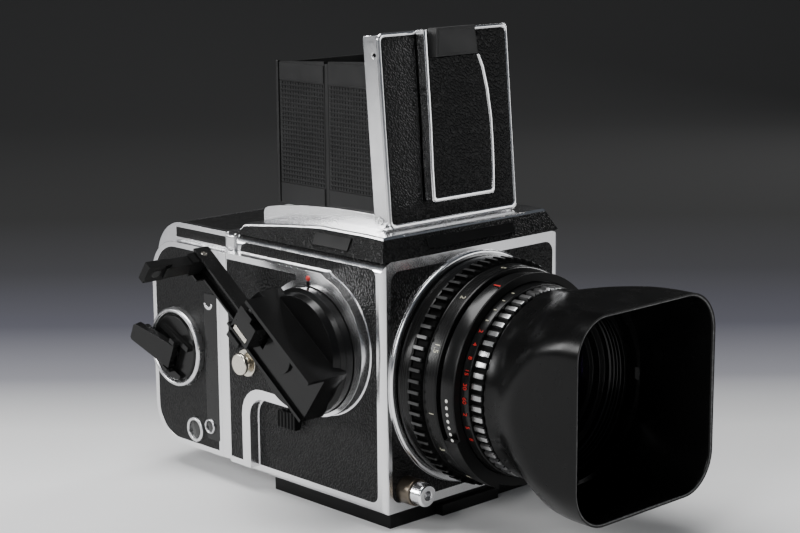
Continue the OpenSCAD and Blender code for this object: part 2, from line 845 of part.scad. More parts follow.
module magazine_shell() {
    y0 = mag_y + mag_frame_t;
    color("silver") in_frame() difference() {
        union() {
            yz(-side_x, body_w) mag_profile(y0, mag_z0, mag_end, body_h, mag_r, 0);
            yz(-cover_x, cover_t + 1) mag_side_panel(0);
        }
        yz(-side_x + 2, body_w - 4) mag_profile(y0 - 5, mag_z0 + 2, mag_end - 2, body_h - 2, mag_r - 2, 0);
        yz(-cover_x - 1, pocket + 1) mag_side_panel(2);
        yz(-side_x - 1, pocket + 1) translate([y0 + 0.2, mag_step_z + 1]) square([mag_d - mag_frame_t - 12, 3.6]);
        yz(side_x - pocket, pocket + 1) mag_profile(y0, mag_z0, mag_end, body_h, mag_r, -2.4);
        translate([-side_x + 2.4, mag_end - pocket, mag_r]) cube([body_w - 4.8, 2, body_h - 2 * mag_r]);
        translate([-side_x + 2.4, y0 + 2, body_h - pocket]) cube([body_w - 4.8, mag_d - mag_frame_t - mag_r - 2, 2]);
        bar_x(-cover_x - 1, -side_x + 3, knob_y, knob_z, 3.1);
        bar_x(-cover_x - 1, -cover_x + pocket, knob_y, knob_z, 14.85);
    }
}

module magazine_frame() {
    color("silver") in_frame() difference() {
        union() {
            xz(mag_y, mag_frame_t) round_rect(-side_x, mag_z0, side_x, body_h, 2);
            xz(mag_y, mag_frame_t) translate([-cover_x, mag_z0 + 1.6]) square([cover_t + 3, mag_step_z - mag_z0 - 1.6]);
        }
        xz(mag_y - 1, mag_frame_t + 2) translate([-gate / 2, lens_z - gate / 2]) square(gate);
        translate([-31.4, mag_y + 1.2, 13.9]) cube([side_x + 40, 0.9, 61.4]);
    }
}

module dark_slide() {
    color("lightgray") in_frame() {
        translate([-31, mag_y + 1.4, 14.2]) cube([side_x + 31.4, 0.5, 60.8]);
        translate([side_x + 0.4, mag_y + 0.4, 30]) cube([6.6, 2.5, 29.2]);
    }
}

module magazine_insert() {
    cheek_y0 = mag_y + mag_frame_t;
    color("dimgray") in_frame() difference() {
        union() {
            translate([-34, cheek_y0, 13]) cube([68, 1.6, 63]);
            for (x = [-34, 32.4]) {
                translate([x, cheek_y0, 13]) cube([1.6, 33, 63]);
            }
        }
        bar_x(-36, 36, spool_y, takeup_z, 3.1);
        bar_x(-36, 36, spool_y, supply_z, 3.1);
    }
}

module spool(z, gear) {
    bar_x(-31.6, 31.6, spool_y, z, 5.5);
    for (x = [-31.6, 30.4]) {
        bar_x(x, x + 1.2, spool_y, z, 11.8);
    }
    bar_x(gear ? -38 : -34.6, 34.6, spool_y, z, 3);
    if (gear) {
        bar_x(-38, -35.2, spool_y, z, 12);
    }
}

module takeup_spool() {
    color("saddlebrown") in_frame() spool(takeup_z, true);
}

module supply_spool() {
    color("saddlebrown") in_frame() spool(supply_z, false);
}

module magazine_leather() {
    y0 = mag_y + mag_frame_t;
    color("#262626") in_frame() {
        yz(-cover_x + pocket - leather_t, leather_t) difference() {
            mag_side_panel(2);
            translate([knob_y, knob_z]) circle(14.9);
            translate([98.4, 10.9]) circle(4.8);
            translate([89.4, 13.9]) circle(2.95);
        }
        yz(-side_x + pocket - leather_t, leather_t) translate([y0 + 0.2, mag_step_z + 1]) square([mag_d - mag_frame_t - 12, 3.6]);
        yz(side_x - pocket, leather_t) mag_profile(y0, mag_z0, mag_end, body_h, mag_r, -2.4);
        translate([-side_x + 2.4, mag_end - pocket, mag_r]) cube([body_w - 4.8, leather_t, body_h - 2 * mag_r]);
        difference() {
            translate([-side_x + 2.4, y0 + 2, body_h - pocket]) cube([body_w - 4.8, mag_d - mag_frame_t - mag_r - 2, leather_t]);
            translate([-10.2, y0 + 2.6, body_h - 2]) cube([20.4, 9, 4]);
        }
    }
}

module bezel(y, z, r) {
    side_turn(y, z, [
        [0, cover_x - pocket], [r, cover_x - pocket], [r, cover_x + 0.8], [r - 1.1, cover_x + 0.8],
        [r - 1.3, cover_x + 0.2], [0, cover_x + 0.2]
    ]);
}

module magazine_bezels() {
    color("silver") in_frame() {
        side_turn(knob_y, knob_z, [
            [3.2, cover_x - pocket], [14.8, cover_x - pocket], [14.8, cover_x + 2], [14.3, cover_x + 2.6],
            [13.4, cover_x + 2.6], [12.9, cover_x + 2], [12.9, cover_x], [3.2, cover_x]
        ]);
        bezel(98.4, 10.9, 4.7);
        bezel(89.4, 13.9, 2.85);
    }
}

key_tilt = 24;
key_open = 13;
key_x = -cover_x - 5;
key_y = knob_y - 1.3;
key_z = knob_z - 2.2;

// x towards the casing, y along the key when it lies flat, z along its hinge pin
module on_key() {
    translate([key_x, key_y, key_z]) rotate([key_tilt, 0, 0]) children();
}

module magazine_knob() {
    color("#1e1e1e") in_frame() difference() {
        union() {
            side_turn(knob_y, knob_z, [
                [0, cover_x + 0.3], [12.6, cover_x + 0.3], [12.6, cover_x + 2], [12, cover_x + 2.5], [0, cover_x + 2.5]
            ]);
            bar_x(-cover_x - 1, -35.2, knob_y, knob_z, 3);
            bar_x(-38, -35.2, knob_y, knob_z, 9.8);
            on_key() for (d = [-7.4, 5.4]) {
                translate([1.1, -6.7, d]) cube([2, 17.6, 2]);
            }
            on_key() for (d = [-7, 5.2]) {
                translate([-1.4, -1.4, d]) cube([4.5, 2.8, 1.8]);
            }
        }
        on_key() translate([0, 0, -10]) cylinder(h = 20, r = 0.95);
        on_key() translate([-3, -1.25, -5]) cube([8, 2.5, 10]);
    }
}

module knob_key() {
    color("#1e1e1e") in_frame() on_key() {
        translate([0, 0, -6.8]) cylinder(h = 13.6, r = 0.85);
        rotate([0, 0, key_open]) {
            yz(-1.2, 3.1) polygon([[-1.1, -4.85], [-1.1, 4.85], [18, 3.5], [18.8, 2.7], [18.8, -2.7], [18, -3.5]]);
            bar_x(1, 5.2, 15.9, 0, 2.3);
        }
    }
}

module magazine_catch() {
    y0 = mag_y + mag_frame_t;
    color("silver") in_frame() translate([-6, y0 + 3, body_h + 0.05]) cube([12, 8, 1.6]);
}

body_shell();
mirror_box();
body_leather();
winding_cover();
winding_leather();
shoulder_cover();
shoulder_trim();
blank_badges();
finder_base();
focusing_screen();
lens_mount_ring();
foot_plate();
foot_screws();
strap_studs();
release_socket();
lens_barrel();
rear_element();
magazine_shell();
magazine_frame();
magazine_insert();
magazine_leather();
magazine_bezels();
mirror_carrier();
mirror_glass();
upper_flap();
lower_flap();
release_button();
mirror_release_slider();
crank_shaft();
crank_hub();
crank_arm();
arm_pin();
arm_fittings();
crank_grip();
grip_rivet();
focus_ring();
front_barrel();
speed_ring();
aperture_ring();
depth_lever();
front_element();
aperture_blades();
lens_shade();
lid_frame();
lid_leather();
tongue_plate();
lid_slide();
magnifier_arm();
magnifier_lens();
wall_front_left();
wall_rear_left();
wall_rear();
wall_front_right();
wall_rear_right();
magazine_knob();
knob_key();
takeup_spool();
supply_spool();
dark_slide();
magazine_catch();
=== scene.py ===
import json
import math
import bpy
import bmesh
from mathutils import Matrix, Vector

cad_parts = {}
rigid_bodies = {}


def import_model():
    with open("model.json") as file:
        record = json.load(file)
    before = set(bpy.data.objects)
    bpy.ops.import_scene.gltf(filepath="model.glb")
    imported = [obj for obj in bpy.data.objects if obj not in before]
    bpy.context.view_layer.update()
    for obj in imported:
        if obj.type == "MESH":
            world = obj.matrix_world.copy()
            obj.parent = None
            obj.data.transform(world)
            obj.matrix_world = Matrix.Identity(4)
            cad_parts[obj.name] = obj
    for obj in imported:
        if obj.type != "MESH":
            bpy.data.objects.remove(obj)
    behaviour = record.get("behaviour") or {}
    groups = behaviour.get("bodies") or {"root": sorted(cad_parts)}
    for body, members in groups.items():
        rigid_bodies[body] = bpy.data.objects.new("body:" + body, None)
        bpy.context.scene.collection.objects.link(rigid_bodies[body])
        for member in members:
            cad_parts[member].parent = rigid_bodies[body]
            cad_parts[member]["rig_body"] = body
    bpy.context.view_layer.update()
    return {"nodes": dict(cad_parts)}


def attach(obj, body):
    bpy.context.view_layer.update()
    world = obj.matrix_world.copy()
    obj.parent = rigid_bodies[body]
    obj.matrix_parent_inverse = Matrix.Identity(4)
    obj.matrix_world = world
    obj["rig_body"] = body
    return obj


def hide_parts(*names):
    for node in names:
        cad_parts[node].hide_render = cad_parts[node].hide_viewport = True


# ---------------------------------------------------------------- frame
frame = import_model()

# Driving sizes, in millimetres from the casing's front face and underside unless they say otherwise
SOCKET = 35.0                             # the origin, at the tripod socket, back from the front face
FOOT = 6.0                                # height of the foot under the casing
LENS_Z = 44.6                             # height of the lens axis
RIBS, TEETH = 66, 55                      # ribs round the focusing ring, teeth round the setting rings
SHADE_BACK, SHADE_FRONT = 36.4, 77.0      # the ends of the square shade, in front of the casing
SHADE_HALF, SHADE_CORNER = 34.5, 14       # half the shade's width, and the radius of its corners
SHADE_WALL = 1.3                          # thickness of the shade's wall
LID_Y, LID_Z, LID_D = 9.1, 95.2, 7.6      # foot of the lid's outer face, and the lid's depth
LEAN = math.radians(4.64)                 # how far the open lid leans back
WALL_Y, LEAF = 18.6, 25.4                 # front edge of the hood's side walls, and the width of a leaf
WALL_X, WALL_Z = 28.5, 97.4               # outer face and lower edge of the hood's side walls
WALL_TOP, WALL_REAR_TOP = 150.9, 148      # height of the side walls at the front and at the back


def at(x, y, z):
    """Millimetres from the casing's front face and underside, to metres in the row frame."""
    return Vector((x, y - SOCKET, z + FOOT)) / 1000


# ---------------------------------------------------------------- camera
cam_data = bpy.data.cameras.new("camera")
cam = bpy.data.objects.new("camera", cam_data)
bpy.context.scene.collection.objects.link(cam)
cam_data.sensor_width, cam_data.lens = 36.0, 85.91
cam_data.clip_start, cam_data.clip_end = 0.01, 20
cam.location = (-0.46092, -0.48505, 0.21934)
az, el, roll = math.radians(43.39), math.radians(11.70), math.radians(-0.44)
look = Vector((math.sin(az) * math.cos(el), math.cos(az) * math.cos(el), -math.sin(el)))
right = look.cross(Vector((0, 0, 1))).normalized()
up = right.cross(look)
r2 = right * math.cos(roll) + up * math.sin(roll)
u2 = up * math.cos(roll) - right * math.sin(roll)
cam.rotation_mode = "QUATERNION"
cam.rotation_quaternion = Matrix((r2, u2, -look)).transposed().to_quaternion()
bpy.context.scene.camera = cam


# ---------------------------------------------------------------- materials
class Mat:
    """A small builder for procedural materials."""

    def __init__(self, name, base, rough, metal=0.0, **sockets):
        self.material = bpy.data.materials.new(name)
        self.material.use_nodes = True
        self.tree = self.material.node_tree
        self.shader = self.tree.nodes["Principled BSDF"]
        self.shader.inputs["Base Color"].default_value = (*base, 1)
        self.shader.inputs["Roughness"].default_value = rough
        self.shader.inputs["Metallic"].default_value = metal
        for k, v in sockets.items():
            self.shader.inputs[k.replace("_", " ")].default_value = v
        self.coord = self.node("ShaderNodeTexCoord").outputs["Object"]
        self.height = None

    def node(self, kind, **inputs):
        made = self.tree.nodes.new(kind)
        for k, v in inputs.items():
            made.inputs[k].default_value = v
        return made

    def link(self, a, b):
        self.tree.links.new(a, b)

    def mapping(self, scale=(1, 1, 1), rotation=(0, 0, 0)):
        m = self.node("ShaderNodeMapping")
        m.inputs["Scale"].default_value = scale
        m.inputs["Rotation"].default_value = rotation
        self.link(self.coord, m.inputs["Vector"])
        return m.outputs["Vector"]

    def noise(self, scale, detail=3.0, rough=0.55, vector=None):
        n = self.node("ShaderNodeTexNoise", Scale=scale, Detail=detail, Roughness=rough)
        self.link(vector or self.coord, n.inputs["Vector"])
        return n.outputs["Fac"]

    def remap(self, value, a, b, lo=0.3, hi=0.7):
        n = self.node("ShaderNodeMapRange")
        for k, v in (("From Min", lo), ("From Max", hi), ("To Min", a), ("To Max", b)):
            n.inputs[k].default_value = v
        self.link(value, n.inputs["Value"])
        return n.outputs["Result"]

    def math(self, op, a, b):
        n = self.node("ShaderNodeMath")
        n.operation = op
        for i, v in enumerate((a, b)):
            if isinstance(v, (int, float)):
                n.inputs[i].default_value = v
            else:
                self.link(v, n.inputs[i])
        return n.outputs[0]

    def vary_rough(self, value, a, b, lo=0.3, hi=0.7):
        self.link(self.remap(value, a, b, lo, hi), self.shader.inputs["Roughness"])
        return self

    def vary_color(self, value, c0, c1, lo=0.3, hi=0.7):
        ramp = self.node("ShaderNodeValToRGB")
        ramp.color_ramp.elements[0].position, ramp.color_ramp.elements[1].position = lo, hi
        ramp.color_ramp.elements[0].color, ramp.color_ramp.elements[1].color = (*c0, 1), (*c1, 1)
        self.link(value, ramp.inputs["Fac"])
        self.link(ramp.outputs["Color"], self.shader.inputs["Base Color"])
        return self

    def bump(self, value, distance, strength=1.0):
        n = self.node("ShaderNodeBump", Strength=strength, Distance=distance)
        self.link(value, n.inputs["Height"])
        if self.height:
            self.link(self.height, n.inputs["Normal"])
        self.height = n.outputs["Normal"]
        self.link(self.height, self.shader.inputs["Normal"])
        return self


def make_chrome(name, base, r0, r1):
    """Plated metal of this colour, with a roughness that varies between r0 and r1."""
    m = Mat(name, base, r0, 1.0)
    m.vary_rough(m.noise(160, 4), r0, r1)
    m.vary_color(m.noise(45, 3), tuple(c * 0.93 for c in base), base)
    m.bump(m.noise(700, 2), 0.000003)
    return m.material


def make_leather(name, pitch=0.0007, depth=0.00027, tone=0.007, rough=(0.3, 0.42), stretch=0.62,
                 direction=(0.6, 0.25, -0.55)):
    """Grained leather: raised pebbles of this pitch, drawn out along one direction."""
    m = Mat(name, (tone,) * 3, 0.4, 0.0, Specular_IOR_Level=0.2)
    warp = m.node("ShaderNodeTexNoise", Scale=0.35 / pitch, Detail=2.0)
    m.link(m.coord, warp.inputs["Vector"])
    mix = m.node("ShaderNodeVectorMath")
    mix.operation = "MULTIPLY_ADD"
    mix.inputs[1].default_value = (pitch * 1.3,) * 3
    m.link(warp.outputs["Color"], mix.inputs[0])
    m.link(m.coord, mix.inputs[2])
    rot = Vector(direction).to_track_quat("X", "Z").inverted().to_euler()
    turn = m.node("ShaderNodeMapping")
    turn.inputs["Rotation"].default_value = rot
    m.link(mix.outputs[0], turn.inputs["Vector"])
    mp = m.node("ShaderNodeMapping")
    mp.inputs["Scale"].default_value = (stretch, 1.0, 1.0)
    m.link(turn.outputs["Vector"], mp.inputs["Vector"])
    v = m.node("ShaderNodeTexVoronoi", Scale=1 / pitch)
    v.feature = "SMOOTH_F1"
    v.inputs["Smoothness"].default_value = 0.3
    m.link(mp.outputs["Vector"], v.inputs["Vector"])
    fine = m.noise(3.5 / pitch, 2)
    pebble = m.remap(v.outputs["Distance"], 1.0, 0.0, 0.12, 0.75)
    height = m.math("ADD", pebble, m.math("MULTIPLY", fine, 0.12))
    m.bump(height, depth)
    m.vary_rough(m.noise(300, 3), *rough)
    # Pebble tops are painted paler and the creases between them darker: painted highlight and painted shade on
    # the grain.
    m.vary_color(v.outputs["Distance"], (tone * 1.6,) * 3, (tone * 0.35,) * 3, 0.25, 0.7)
    return m.material


def make_black(name, tone, rough=(0.28, 0.4), grain=1800, depth=0.00001, spec=0.12, wear=None):
    """Black paint or moulding with a fine grain. wear is the scale of its paler, rubbed patches."""
    m = Mat(name, (tone,) * 3, rough[0], 0.0, Specular_IOR_Level=spec)
    m.vary_rough(m.noise(140, 4), *rough)
    if wear:
        m.vary_color(m.noise(wear, 5, 0.7), (tone * 0.8,) * 3, (tone * 2.4,) * 3, 0.45, 0.75)
    else:
        m.vary_color(m.noise(60, 3), (tone * 0.85,) * 3, (tone * 1.2,) * 3)
    m.bump(m.noise(grain, 3), depth)
    return m.material


def make_turned(name, tone=0.005, rough=(0.18, 0.26), spec=0.28):
    """Black anodised metal with the fine rings of turning round the lens axis."""
    m = Mat(name, (tone,) * 3, rough[0], 0.0, Specular_IOR_Level=spec)
    lines = m.noise(1.0, 2, 0.5, m.mapping((40, 5200, 40)))
    m.vary_rough(lines, *rough)
    m.vary_color(m.noise(50, 3), (tone * 0.85,) * 3, (tone * 1.25,) * 3)
    m.bump(lines, 0.000012)
    return m.material


def make_paint(name, base, rough=0.45):
    """Matt paint, as on the engraved marks and the dots."""
    m = Mat(name, base, rough)
    m.vary_color(m.noise(900, 3), tuple(c * 0.8 for c in base), base)
    m.bump(m.noise(2500, 2), 0.000008)
    return m.material


def make_glass(name, tint, rough=0.02, coat=(0.35, 0.3, 0.6)):
    """Clear glass with a tinted coating."""
    m = Mat(name, tint, rough, 0.0, Transmission_Weight=1.0, IOR=1.52, Coat_Weight=0.6,
            Coat_Roughness=0.01)
    m.shader.inputs["Coat Tint"].default_value = (*coat, 1)
    m.bump(m.noise(60, 1), 0.000002)
    return m.material


chrome = make_chrome("chrome", (0.93, 0.93, 0.94), 0.17, 0.25)
chrome_soft = make_chrome("chrome_soft", (0.74, 0.74, 0.75), 0.24, 0.34)
nickel = make_chrome("nickel", (0.72, 0.68, 0.60), 0.2, 0.32)
steel = make_chrome("steel", (0.55, 0.55, 0.56), 0.28, 0.4)
leather = make_leather("leather")
leather_lid = make_leather("leather_lid", 0.00066, 0.00024, 0.008, (0.26, 0.36), 0.62, (0.75, 0.0, -0.6))
leather_mag = make_leather("leather_mag", 0.0006, 0.00007, 0.008, (0.4, 0.5), 0.8)
black_crank = make_black("black_crank", 0.005, (0.16, 0.26), 1500, 0.000008, 0.24)
black_arm = make_black("black_arm", 0.007, (0.2, 0.3), 1600, 0.000008, 0.26)
black_satin = make_black("black_satin", 0.006, (0.3, 0.42))
black_wall = make_black("black_wall", 0.012, (0.3, 0.42), 2400, 0.00001, 0.3)
black_matt = make_black("black_matt", 0.004, (0.6, 0.75), spec=0.1)
black_shade = make_black("black_shade", 0.0035, (0.2, 0.3), 700, 0.000012, 0.13)
black_tab = make_black("black_tab", 0.022, (0.4, 0.5), 2200, 0.000016, 0.3)
black_strip = make_black("black_strip", 0.010, (0.2, 0.3), 900, 0.000006, 0.3)
window = make_black("window", 0.03, (0.1, 0.2), 900, 0.000004, 0.5)
bronze = make_chrome("bronze", (0.16, 0.135, 0.105), 0.3, 0.42)
turned = make_turned("turned")
turned_dark = make_turned("turned_dark", 0.004, (0.22, 0.32), 0.2)
# A darker, duller turned black for the floors of the grooves between ribs and teeth: painted shade.
turned_painted_shade = make_turned("turned_painted_shade", 0.002, (0.5, 0.6), 0.04)
# A paler, glossier turned black for the tops of the focusing ribs: painted highlight.
turned_painted_highlight = make_turned("turned_painted_highlight", 0.02, (0.3, 0.4), 0.5)
worn = make_black("worn_rim", 0.07, (0.32, 0.5), 900, 0.00003, 0.4, 600)
red = make_paint("red_paint", (0.55, 0.02, 0.015))
white = make_paint("white_paint", (0.75, 0.74, 0.70))
ivory = make_paint("ivory_paint", (0.45, 0.43, 0.33))
glass = make_glass("glass", (0.93, 0.97, 0.96))
front_glass = make_glass("front_glass", (0.5, 0.5, 0.6), 0.01, (0.5, 0.35, 0.7))
screen = Mat("ground_screen", (0.75, 0.78, 0.76), 0.5, 0.0, Transmission_Weight=0.25)
screen.bump(screen.noise(4000, 2), 0.00001)
tooth_metal = make_chrome("tooth_metal", (0.36, 0.36, 0.36), 0.26, 0.38)
mirror = make_chrome("mirror_silver", (0.9, 0.91, 0.93), 0.01, 0.03)


# ---------------------------------------------------------------- mesh helpers
def add(name, mesh, mat, body, replaces=(), slot=None, smooth=35):
    """Makes a piece: its mesh, materials, smoothing and body, and hides the CAD nodes it replaces."""
    ob = bpy.data.objects.new(name, mesh)
    bpy.context.scene.collection.objects.link(ob)
    for mt in mat if isinstance(mat, (list, tuple)) else [mat]:
        ob.data.materials.append(mt)
    smooth_faces(ob.data, smooth)
    wn = ob.modifiers.new("weighted", "WEIGHTED_NORMAL")
    wn.keep_sharp, wn.weight = True, 60
    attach(ob, body)
    if replaces:
        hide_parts(*replaces)
        slot or replaces[0]
    return ob


def smooth_faces(mesh, angle=35):
    bm = bmesh.new()
    bm.from_mesh(mesh)
    lim = math.radians(angle)
    for f in bm.faces:
        f.smooth = True
    for e in bm.edges:
        e.smooth = len(e.link_faces) == 2 and e.calc_face_angle(9) < lim
    bm.to_mesh(mesh)
    bm.free()


def evaluated(ob):
    """The mesh of an object with its modifiers or curve settings applied. The object is removed."""
    bpy.context.scene.collection.objects.link(ob)
    mesh = bpy.data.meshes.new_from_object(ob.evaluated_get(bpy.context.evaluated_depsgraph_get()))
    bpy.data.objects.remove(ob)
    return mesh


def clean(mesh, merge=0.0):
    """Joins corners that are nearer than merge, and turns the faces outwards."""
    bm = bmesh.new()
    bm.from_mesh(mesh)
    if merge:
        bmesh.ops.remove_doubles(bm, verts=bm.verts, dist=merge)
    bmesh.ops.recalc_face_normals(bm, faces=bm.faces)
    bm.to_mesh(mesh)
    bm.free()
    return mesh


def apply_bevel(mesh, width, segs=3, angle=28):
    """Rounds the sharp edges of a mesh and returns the new mesh."""
    tmp = bpy.data.objects.new("tmp", mesh)
    b = tmp.modifiers.new("b", "BEVEL")
    b.width, b.segments, b.limit_method, b.angle_limit = width, segs, "ANGLE", math.radians(angle)
    b.use_clamp_overlap = True
    b.miter_outer = "MITER_ARC"
    return evaluated(tmp)


def clone(node, width, mat, body=None, segs=3, name=None, angle=28, smooth=38, keep=None):
    """A copy of a CAD node with its flat faces joined and its edges rounded, shown in the node's place.

    keep(corner) picks the corners that stay, where only a piece of the node is wanted.
    """
    src = frame["nodes"][node]
    bm = bmesh.new()
    bm.from_mesh(src.data)
    bmesh.ops.remove_doubles(bm, verts=bm.verts, dist=2e-6)
    if keep:
        drop = [v for v in bm.verts if not keep(v.co * 1000)]
        bmesh.ops.delete(bm, geom=drop, context="VERTS")
    bmesh.ops.dissolve_limit(bm, angle_limit=math.radians(0.6), verts=bm.verts, edges=bm.edges)
    mesh = bpy.data.meshes.new(node)
    bm.to_mesh(mesh)
    bm.free()
    if width:
        mesh = apply_bevel(mesh, width / 1000, segs, angle)
    return add(name or node + "_piece", mesh, mat, body or src["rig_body"], [node], smooth=smooth)


def repaint(node, mat):
    """Gives a CAD node that keeps its own shape a finished material."""
    ob = frame["nodes"][node]
    ob.data.materials.clear()
    ob.data.materials.append(mat)


def mesh_from(verts, faces):
    mesh = bpy.data.meshes.new("m")
    mesh.from_pydata([tuple(v) for v in verts], [], faces)
    mesh.validate()
    return clean(mesh, 1e-7)


def on_lens(r, s, th):
    """Radius, distance in front of the casing, and angle from the top towards the crank side."""
    return at(-r * math.sin(th), -s, LENS_Z + r * math.cos(th))


def turn(profile, place, n=192, wave=None):
    """A closed profile of (radius, distance) turned round an axis. wave(th, r, s) gives a new radius."""
    verts, faces, k = [], [], len(profile)
    for i in range(n):
        th = 2 * math.pi * i / n
        for r, s in profile:
            verts.append(place(wave(th, r, s) if wave else r, s, th))
    for i in range(n):
        j = (i + 1) % n
        for a in range(k):
            b = (a + 1) % k
            faces.append((i * k + a, i * k + b, j * k + b, j * k + a))
    return mesh_from(verts, faces)


def lens_ring(name, profile, mat, body, replaces=(), bevel=0.15, n=192, wave=None, slot=None, tones=None):
    """tones(r, s) gives the material slot of each face of a ring with more than one material."""
    mesh = turn(profile, on_lens, n, wave)
    if bevel:
        mesh = apply_bevel(mesh, bevel / 1000, 2, 30)
    if tones:
        for p in mesh.polygons:
            c = p.center * 1000
            p.material_index = tones(math.hypot(c.x, c.z - LENS_Z - FOOT), -(c.y + SOCKET))
    return add(name, mesh, mat, body, replaces, slot, 40)


def block(x0, y0, z0, x1, y1, z1, place=at):
    """Corners and faces of a box."""
    v = [place(x, y, z) for x in (x0, x1) for y in (y0, y1) for z in (z0, z1)]
    return v, [(0, 1, 3, 2), (4, 6, 7, 5), (0, 4, 5, 1), (2, 3, 7, 6), (0, 2, 6, 4), (1, 5, 7, 3)]


def blocks(parts):
    """One mesh of several (verts, faces)."""
    verts, faces = [], []
    for v, f in parts:
        o = len(verts)
        verts += v
        faces += [tuple(i + o for i in q) for q in f]
    mesh = bpy.data.meshes.new("blocks")
    mesh.from_pydata([tuple(v) for v in verts], [], faces)
    return clean(mesh)


def sheet(outline, place, t0, t1, bevel=0.2, holes=(), segs=3):
    """A flat outline (u, v) between heights t0 and t1 with rounded edges. place(u, v, t) gives the point."""
    cu = bpy.data.curves.new("c", "CURVE")
    cu.dimensions, cu.fill_mode = "2D", "BOTH"
    for pts in (outline, *holes):
        sp = cu.splines.new("POLY")
        sp.points.add(len(pts) - 1)
        for p, (u, v) in zip(sp.points, pts):
            p.co = (u, v, 0, 1)
        sp.use_cyclic_u = True
    h = abs(t1 - t0) / 2
    cu.extrude = max(h - bevel, 0.0)
    cu.bevel_depth, cu.bevel_resolution, cu.offset = bevel, segs, -bevel
    mesh = evaluated(bpy.data.objects.new("c", cu))
    mid = (t0 + t1) / 2
    for v in mesh.vertices:
        u, w, t = v.co
        v.co = place(u, w, mid + t)
    return clean(mesh, 1e-6)


def arc(u, v, r, degrees):
    """Points on a circle round (u, v)."""
    return [(u + r * math.cos(math.radians(a)), v + r * math.sin(math.radians(a))) for a in degrees]


def rounded(x0, y0, x1, y1, r, n=8):
    """The outline of a rectangle with round corners."""
    pts = []
    corners = ((x1 - r, y0 + r, -90), (x1 - r, y1 - r, 0), (x0 + r, y1 - r, 90), (x0 + r, y0 + r, 180))
    for cx, cy, a in corners:
        for i in range(n + 1):
            t = math.radians(a + 90 * i / n)
            pts.append((cx + r * math.cos(t), cy + r * math.sin(t)))
    return pts


def digits(string, height, place, thick=0.05):
    """Generic digits as raised flat marks; place(u, v, t) bends them onto a surface."""
    cu = bpy.data.curves.new("t", "FONT")
    cu.body, cu.size, cu.extrude = string, height * 1.38, thick
    cu.align_x, cu.align_y = "CENTER", "CENTER"
    mesh = evaluated(bpy.data.objects.new("t", cu))
    v = [place(p.co.x, p.co.y, p.co.z) for p in mesh.vertices]
    return v, [tuple(f.vertices) for f in mesh.polygons]


def ring_marks(name, items, mat, body, slot):
    """Marks on a lens ring. Each is (text or (width, height), angle in degrees, s, radius, text height)."""
    parts = []
    for what, deg, s, r, h in items:
        th0 = math.radians(deg)

        def place(u, v, t, th0=th0, s=s, r=r):
            return on_lens(r + 0.03 + t, s + v, th0 + u / r)
        if isinstance(what, str):
            parts.append(digits(what, h, place))
        else:
            w, l = what
            parts.append(block(-w / 2, -l / 2, -0.06, w / 2, l / 2, 0.06, place))
    return add(name, blocks(parts), mat, body, slot=slot)


# ---------------------------------------------------------------- body
clone("body_shell", 0.9, chrome, segs=4)
repaint("mirror_box", black_matt)
clone("body_leather", 0.22, leather)
clone("winding_cover", 0.7, chrome, segs=4)
clone("winding_leather", 0.22, leather)
clone("shoulder_cover", 0.25, leather)


def shoulder_rim():
    """The chrome top of the shoulder: a front strip and two side strips that follow its sloping outline."""
    def slope(z):
        return 3.9 - (94.7 - z) * 3.7 / 7.7

    def edge(z):
        return 39.2 + (95 - z) * 0.48

    tops = [(3.9, 94.7), (12, 94.9), (35, 94.8), (52, 93.3), (74, 90.9), (77.0, 87.5)]
    parts = []

    def strip(sections):
        k = len(sections[0])
        v = [p for sec in sections for p in sec]
        f = [(i * k + a, i * k + (a + 1) % k, (i + 1) * k + (a + 1) % k, (i + 1) * k + a)
             for i in range(len(sections) - 1) for a in range(k)]
        f += [tuple(range(k)), tuple(range(len(v) - k, len(v)))]
        parts.append((v, f))
    front = [(12, 94.0), (slope(93.8), 93.8), (slope(94.4), 94.4), (4.15, 94.7), (12, 94.9)]
    strip([[at(x, y, z) for y, z in front] for x in (-29.9, 29.9)])
    for side in (-1, 1):
        sections = []
        for i, (y, zt) in enumerate(tops):
            zb = max(zt - 0.9, 87.02)
            ring = [(29.9, zb), (edge(zb), zb), (edge(zt - 0.3), zt - 0.3), (edge(zt) - 0.25, zt), (29.9, zt)]
            if i:
                sections.append([at(side * x, y, z) for x, z in ring])
            else:
                sections.append([at(side * x, slope(z) + (0.25 if z == zt else 0), z) for x, z in ring])
        strip(sections)
    return blocks(parts)


add("shoulder_rim", shoulder_rim(), chrome, "body", ["shoulder_trim"], smooth=25)
clone("blank_badges", 0.15, black_satin)
clone("finder_base", 0.4, chrome)
repaint("focusing_screen", screen.material)
clone("foot_plate", 0.9, black_satin)
clone("foot_screws", 0.15, steel)
clone("strap_studs", 0.2, nickel)
clone("release_socket", 0.2, bronze)
clone("release_button", 0.3, chrome)
clone("mirror_release_slider", 0.25, black_satin)
repaint("rear_element", glass)

# ---------------------------------------------------------------- magazine and crank side
clone("magazine_shell", 0.8, chrome, segs=4)
clone("magazine_frame", 0.5, chrome)
clone("magazine_leather", 0.22, leather_mag)


def on_side(y0, z0):
    """Radius, distance out from the middle, and angle, round an axis that leaves the crank side."""
    return lambda r, s, th: at(-s, y0 + r * math.cos(th), z0 + r * math.sin(th))


def side_ring(name, y, z, profile, mat, body, replaces=(), slot=None, bevel=0.12, n=96):
    mesh = turn(profile, on_side(y, z), n)
    if bevel:
        mesh = apply_bevel(mesh, bevel / 1000, 2, 30)
    return add(name, mesh, mat, body, replaces, slot, 40)


